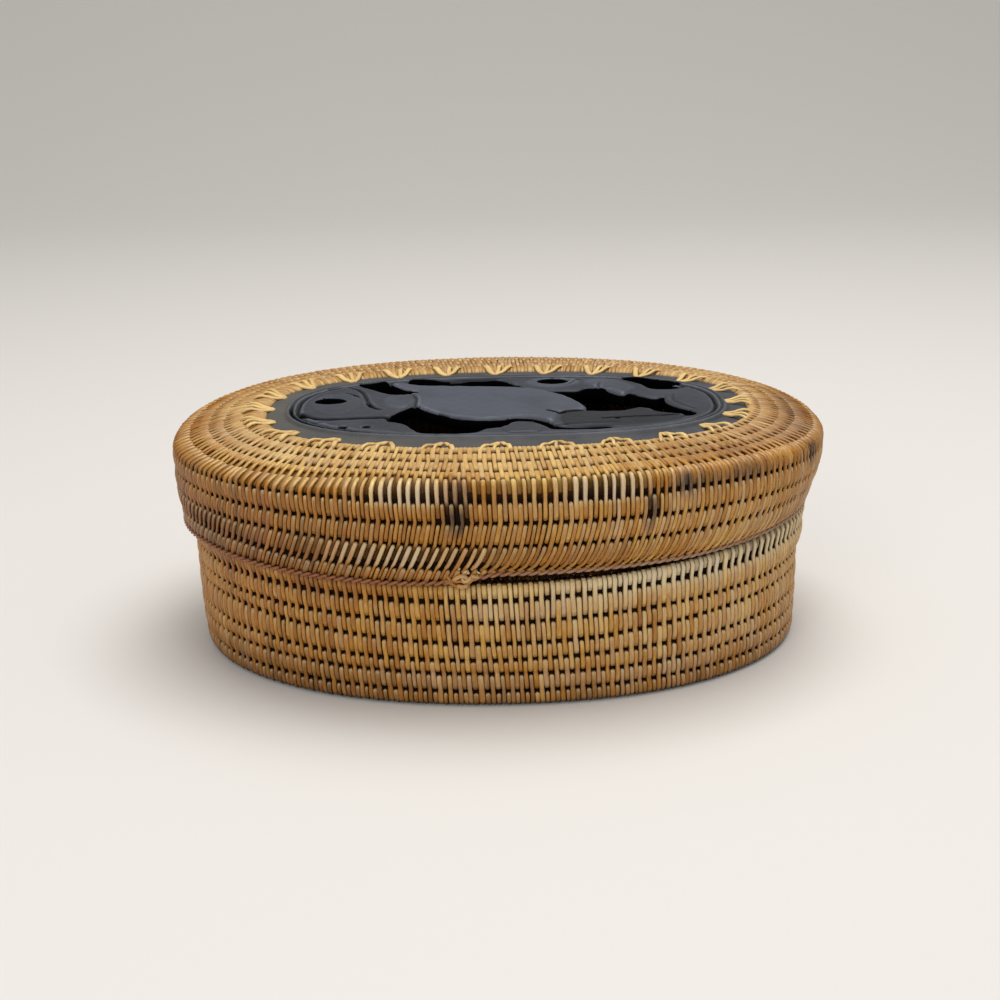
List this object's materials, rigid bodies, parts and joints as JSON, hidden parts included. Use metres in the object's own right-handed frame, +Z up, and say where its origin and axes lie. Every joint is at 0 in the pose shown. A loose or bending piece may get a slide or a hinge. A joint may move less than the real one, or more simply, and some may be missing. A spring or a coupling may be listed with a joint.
{
  "type": "woven lidded box",
  "caption": "Oval lidded box of coiled, wrapped cane with a lift-off lid, an inner collar, and a pierced carved wooden panel lashed into the lid.",
  "frame": {"origin": "Centre of the box's footprint on the surface it stands on.", "axes": "+X along the long axis, -Y towards the front, +Z up."},
  "size_m": [0.216, 0.165, 0.0773],
  "materials": {
    "base_cane": "split cane, tan, matt with a slight skin sheen",
    "side_cane": "split cane, honey brown with darker stained strips, slight skin sheen",
    "top_cane": "split cane, pale straw, slight skin sheen",
    "braid_cane": "braided cane, red brown",
    "carved_wood": "dark stained hardwood, matt, worn pale on the ridges"
  },
  "bodies": {
    "base": {"base_floor": "base_cane", "base_wall": "base_cane", "base_shoulder": "base_cane", "base_collar": "base_cane"},
    "lid": {"lid_rim_braid": "braid_cane", "lid_rim_finish": "braid_cane", "lid_skirt": "side_cane", "lid_edge_coil": "side_cane", "lid_top": "top_cane", "lid_hoop": "top_cane", "carved_panel": "carved_wood", "panel_lashing_01": "top_cane", "panel_lashing_02": "top_cane", "panel_lashing_03": "top_cane", "panel_lashing_04": "top_cane", "panel_lashing_05": "top_cane", "panel_lashing_06": "top_cane", "panel_lashing_07": "top_cane", "panel_lashing_08": "top_cane", "panel_lashing_09": "top_cane", "panel_lashing_10": "top_cane", "panel_lashing_11": "top_cane", "panel_lashing_12": "top_cane", "panel_lashing_13": "top_cane", "panel_lashing_14": "top_cane", "panel_lashing_15": "top_cane", "panel_lashing_16": "top_cane", "panel_lashing_17": "top_cane", "panel_lashing_18": "top_cane", "panel_lashing_19": "top_cane", "panel_lashing_20": "top_cane", "panel_lashing_21": "top_cane", "panel_lashing_22": "top_cane", "panel_lashing_23": "top_cane", "panel_lashing_24": "top_cane"}
  },
  "joints": [
    {"name": "lid_lift", "type": "slide", "parent": "base", "child": "lid", "axis": [0, 0, 1], "range_m": [0, 0.06]}
  ]
}
